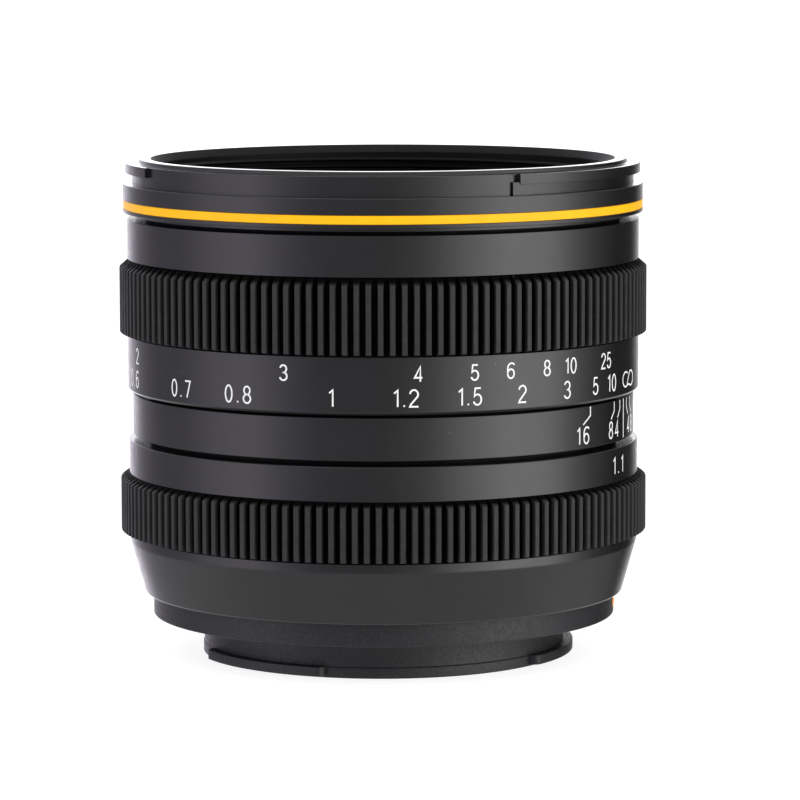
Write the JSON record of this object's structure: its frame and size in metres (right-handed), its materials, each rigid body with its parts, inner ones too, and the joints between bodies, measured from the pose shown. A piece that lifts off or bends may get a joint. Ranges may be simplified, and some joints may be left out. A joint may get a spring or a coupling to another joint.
{
  "type": "prime camera lens",
  "caption": "Fast manual-focus prime camera lens: bayonet mount, ribbed aperture and focus rings, helicoid-driven lens block, working multi-blade iris.",
  "frame": {"origin": "centre of the rear flange's seating face, on the optical axis, which is the flange's plane", "axes": "+Z is the optical axis towards the subject; -Y faces the side that carries the near end of the distance scale, and the mounting dot is close to +X"},
  "size_m": [0.06, 0.06, 0.0565],
  "materials": {
    "black_anodised": "fine satin black anodising with a faint purple cast",
    "inner_black": "matt black anodised",
    "flange_metal": "sandblasted dark anodising",
    "rubber": "moulded matt rubber",
    "accent_paint": "satin golden yellow paint",
    "marking_paint": "white-filled engraving",
    "index_paint": "satin orange enamel",
    "coated_glass": "polished, multi-coated",
    "brass": "machined",
    "screw_steel": "blackened",
    "blade_steel": "blued, matt"
  },
  "bodies": {
    "fixed_barrel": {"mount_ring": "flange_metal", "mount_index_dot": "index_paint", "mount_lining": "inner_black", "mount_screws": "screw_steel", "rear_barrel": "black_anodised", "main_tube": "inner_black", "tube_screws": "screw_steel", "guide_keys": "brass", "index_ring": "black_anodised", "index_grub_screws": "screw_steel", "focus_retainer": "brass"},
    "focus_ring": {"focus_ring_shell": "black_anodised", "focus_grip": "rubber", "focus_stop_block": "brass"},
    "aperture_ring": {"aperture_ring_shell": "black_anodised", "aperture_grip": "rubber", "aperture_fork": "brass", "fork_screws": "screw_steel"},
    "optical_block": {"inner_barrel": "inner_black", "front_ring": "black_anodised", "accent_ring": "accent_paint", "front_trim_ring": "inner_black", "front_cell": "inner_black", "front_glass": "coated_glass", "front_glass_retainer": "inner_black", "second_glass": "coated_glass", "second_glass_retainer": "inner_black", "iris_plate": "inner_black", "rear_cell": "inner_black", "rear_cell_screws": "screw_steel", "third_glass": "coated_glass", "third_glass_retainer": "inner_black", "fourth_glass": "coated_glass", "rear_glass": "coated_glass", "rear_glass_retainer": "inner_black"},
    "iris_ring": {"iris_ring": "brass", "iris_drive_arm": "brass"},
    "blade_01": {"iris_blade_01": "blade_steel"},
    "blade_02": {"iris_blade_02": "blade_steel"},
    "blade_03": {"iris_blade_03": "blade_steel"},
    "blade_04": {"iris_blade_04": "blade_steel"},
    "blade_05": {"iris_blade_05": "blade_steel"},
    "blade_06": {"iris_blade_06": "blade_steel"},
    "blade_07": {"iris_blade_07": "blade_steel"},
    "blade_08": {"iris_blade_08": "blade_steel"},
    "blade_09": {"iris_blade_09": "blade_steel"},
    "blade_10": {"iris_blade_10": "blade_steel"},
    "blade_11": {"iris_blade_11": "blade_steel"}
  },
  "joints": [
    {"name": "focus_turn", "type": "hinge", "parent": "fixed_barrel", "child": "focus_ring", "pos_m": [0, 0, 0.0285], "axis": [0, 0, 1], "range_deg": [0, 184]},
    {"name": "block_slide", "type": "slide", "parent": "fixed_barrel", "child": "optical_block", "axis": [0, 0, 1], "range_m": [0, 0.00624]},
    {"name": "aperture_turn", "type": "hinge", "parent": "fixed_barrel", "child": "aperture_ring", "pos_m": [0, 0, 0.015], "axis": [0, 0, 1], "range_deg": [-84, 0]},
    {"name": "iris_turn", "type": "hinge", "parent": "optical_block", "child": "iris_ring", "pos_m": [0, 0, 0.0233], "axis": [0, 0, 1], "range_deg": [-84.01, 0.01]},
    {"name": "blade_01_swing", "type": "hinge", "parent": "optical_block", "child": "blade_01", "pos_m": [0.0208, 0, 0.02385], "axis": [0, 0, 1], "range_deg": [-36.61, 0.01]},
    {"name": "blade_02_swing", "type": "hinge", "parent": "optical_block", "child": "blade_02", "pos_m": [0.0175, 0.01125, 0.02399], "axis": [0, 0, 1], "range_deg": [-36.61, 0.01]},
    {"name": "blade_03_swing", "type": "hinge", "parent": "optical_block", "child": "blade_03", "pos_m": [0.00864, 0.01892, 0.02413], "axis": [0, 0, 1], "range_deg": [-36.61, 0.01]},
    {"name": "blade_04_swing", "type": "hinge", "parent": "optical_block", "child": "blade_04", "pos_m": [-0.00296, 0.02059, 0.02427], "axis": [0, 0, 1], "range_deg": [-36.61, 0.01]},
    {"name": "blade_05_swing", "type": "hinge", "parent": "optical_block", "child": "blade_05", "pos_m": [-0.01362, 0.01572, 0.02441], "axis": [0, 0, 1], "range_deg": [-36.61, 0.01]},
    {"name": "blade_06_swing", "type": "hinge", "parent": "optical_block", "child": "blade_06", "pos_m": [-0.01996, 0.00586, 0.02455], "axis": [0, 0, 1], "range_deg": [-36.61, 0.01]},
    {"name": "blade_07_swing", "type": "hinge", "parent": "optical_block", "child": "blade_07", "pos_m": [-0.01996, -0.00586, 0.02469], "axis": [0, 0, 1], "range_deg": [-36.61, 0.01]},
    {"name": "blade_08_swing", "type": "hinge", "parent": "optical_block", "child": "blade_08", "pos_m": [-0.01362, -0.01572, 0.02483], "axis": [0, 0, 1], "range_deg": [-36.61, 0.01]},
    {"name": "blade_09_swing", "type": "hinge", "parent": "optical_block", "child": "blade_09", "pos_m": [-0.00296, -0.02059, 0.02497], "axis": [0, 0, 1], "range_deg": [-36.61, 0.01]},
    {"name": "blade_10_swing", "type": "hinge", "parent": "optical_block", "child": "blade_10", "pos_m": [0.00864, -0.01892, 0.02511], "axis": [0, 0, 1], "range_deg": [-36.61, 0.01]},
    {"name": "blade_11_swing", "type": "hinge", "parent": "optical_block", "child": "blade_11", "pos_m": [0.0175, -0.01125, 0.02525], "axis": [0, 0, 1], "range_deg": [-36.61, 0.01]}
  ],
  "couplings": [
    {"joint": "block_slide", "follows": "focus_turn", "m_per_rad": 0.0019417},
    {"joint": "iris_turn", "follows": "aperture_turn", "ratio": 1},
    {"joint": "blade_01_swing", "follows": "aperture_turn", "ratio": 0.43571},
    {"joint": "blade_02_swing", "follows": "aperture_turn", "ratio": 0.43571},
    {"joint": "blade_03_swing", "follows": "aperture_turn", "ratio": 0.43571},
    {"joint": "blade_04_swing", "follows": "aperture_turn", "ratio": 0.43571},
    {"joint": "blade_05_swing", "follows": "aperture_turn", "ratio": 0.43571},
    {"joint": "blade_06_swing", "follows": "aperture_turn", "ratio": 0.43571},
    {"joint": "blade_07_swing", "follows": "aperture_turn", "ratio": 0.43571},
    {"joint": "blade_08_swing", "follows": "aperture_turn", "ratio": 0.43571},
    {"joint": "blade_09_swing", "follows": "aperture_turn", "ratio": 0.43571},
    {"joint": "blade_10_swing", "follows": "aperture_turn", "ratio": 0.43571},
    {"joint": "blade_11_swing", "follows": "aperture_turn", "ratio": 0.43571}
  ]
}
